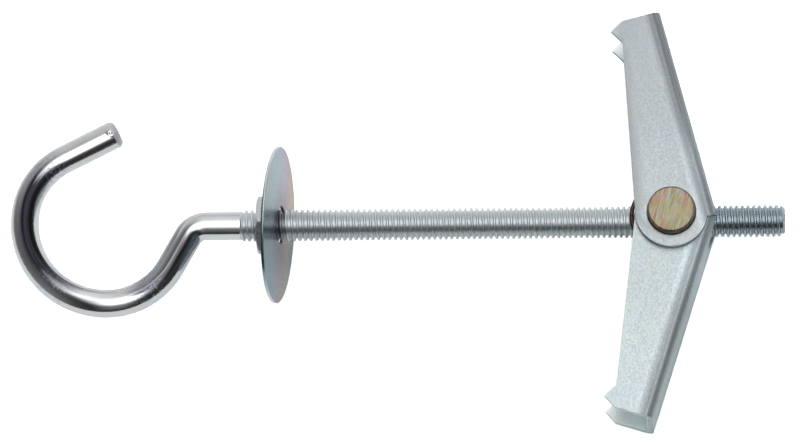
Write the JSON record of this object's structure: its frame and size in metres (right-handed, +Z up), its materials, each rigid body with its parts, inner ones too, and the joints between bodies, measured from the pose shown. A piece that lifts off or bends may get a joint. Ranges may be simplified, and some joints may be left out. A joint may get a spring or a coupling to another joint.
{
  "type": "spring toggle bolt",
  "caption": "Threaded rod with an open hook, lock nut, cover washer and sprung folding toggle wings, for hanging a load from a hollow ceiling.",
  "frame": {"origin": "on the rod's axis, at the ceiling side of the cover washer", "axes": "+X along the rod towards its free end (4.7 degrees down, as the part lies), +Y towards the left wing, +Z up from the floor it lies on"},
  "size_m": [0.0962, 0.0523, 0.0195],
  "materials": {
    "hook_screw": "bright zinc plating",
    "lock_nut": "zinc plating",
    "cover_washer": "passivated zinc plating with a faint iridescence",
    "barrel_nut": "yellow passivated, scratched end faces",
    "wings": "satin zinc plating",
    "wing_spring": "dark oiled spring wire"
  },
  "bodies": {
    "barrel_nut": {"barrel_nut": "barrel_nut", "wing_spring": "wing_spring"},
    "cover_washer": {"cover_washer": "cover_washer"},
    "hook_screw": {"hook_screw": "hook_screw"},
    "lock_nut": {"lock_nut": "lock_nut"},
    "left_wing": {"left_wing": "wings"},
    "right_wing": {"right_wing": "wings"}
  },
  "joints": [
    {"name": "washer_travel", "type": "slide", "parent": "barrel_nut", "child": "cover_washer", "axis": [0.9967, 0, -0.0814], "range_m": [-0.0105, 0.021]},
    {"name": "screw_turn", "type": "hinge", "parent": "cover_washer", "child": "hook_screw", "pos_m": [0, 0, 0], "axis": [0.9967, 0, -0.0814], "range_deg": [-5400, 10800]},
    {"name": "lock_nut_travel", "type": "slide", "parent": "hook_screw", "child": "lock_nut", "axis": [0.9967, 0, -0.0814], "range_m": [-0.002, 0]},
    {"name": "left_wing_fold", "type": "hinge", "parent": "barrel_nut", "child": "left_wing", "pos_m": [0.04836, 0, -0.00395], "axis": [0.0813, -0.0244, 0.9964], "range_deg": [0, 75.5], "stiffness_Nm_per_rad": 0.03, "springref_deg": -28.65, "deforming": ["wing_spring"]},
    {"name": "right_wing_fold", "type": "hinge", "parent": "barrel_nut", "child": "right_wing", "pos_m": [0.04836, 0, -0.00395], "axis": [-0.0813, 0.0244, -0.9964], "range_deg": [0, 72.9], "stiffness_Nm_per_rad": 0.03, "springref_deg": -28.65, "deforming": ["wing_spring"]}
  ],
  "couplings": [
    {"joint": "washer_travel", "follows": "screw_turn", "m_per_rad": 0.00011141}
  ]
}
